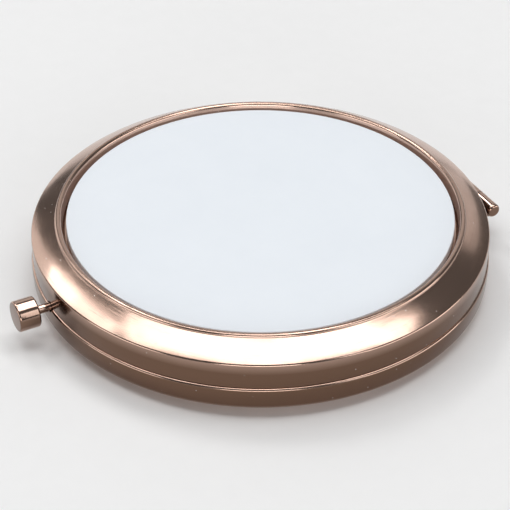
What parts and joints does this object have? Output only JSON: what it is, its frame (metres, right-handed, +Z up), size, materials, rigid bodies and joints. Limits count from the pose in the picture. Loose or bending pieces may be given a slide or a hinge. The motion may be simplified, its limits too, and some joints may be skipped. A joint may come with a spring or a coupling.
{
  "type": "compact mirror",
  "caption": "Round push-button compact mirror: pressed metal lid and base on a rolled hinge, flat and magnifying mirrors inside, and a blank round insert sunk in the lid.",
  "frame": {"origin": "middle of the round resting face on the underside of the base", "axes": "+Z up through the lid, +Y from the push button at the front towards the hinge at the back, +X along the hinge pin to the right"},
  "size_m": [0.069, 0.0766, 0.0115],
  "materials": {
    "rose_gold_case": "polished",
    "rose_gold_tray": "gloss",
    "rose_gold_fittings": "polished",
    "white_insert": "satin",
    "mirror_glass": "polished",
    "adhesive": "matte",
    "latch_steel": "satin",
    "spring_steel": "gloss"
  },
  "bodies": {
    "base": {"base_shell": "rose_gold_case", "base_mirror_frame": "rose_gold_tray", "base_mirror": "mirror_glass", "base_mirror_adhesive": "adhesive", "base_hinge_leaf": "rose_gold_fittings", "base_hinge_rivets": "rose_gold_fittings", "hinge_pin": "rose_gold_fittings", "latch_bracket": "latch_steel", "latch_bracket_rivets": "rose_gold_fittings", "return_spring": "spring_steel"},
    "lid": {"lid_shell": "rose_gold_case", "insert_disc": "white_insert", "insert_adhesive": "adhesive", "lid_mirror_frame": "rose_gold_tray", "lid_mirror": "mirror_glass", "lid_mirror_adhesive": "adhesive", "lid_catch": "latch_steel", "lid_catch_rivets": "rose_gold_fittings", "lid_hinge_leaf": "rose_gold_fittings", "lid_hinge_rivets": "rose_gold_fittings"},
    "button": {"button_cap": "rose_gold_fittings", "button_stem": "rose_gold_fittings", "latch_plate": "latch_steel", "stem_ring": "spring_steel"}
  },
  "joints": [
    {"name": "lid_hinge", "type": "hinge", "parent": "base", "child": "lid", "pos_m": [0, 0.03585, 0.0052], "axis": [-1, 0, 0], "range_deg": [0, 170]},
    {"name": "button_press", "type": "slide", "parent": "base", "child": "button", "axis": [0, 1, 0], "range_m": [0, 0.0012], "stiffness_N_per_m": 700, "springref_m": -0.0008, "deforming": ["return_spring"]}
  ]
}
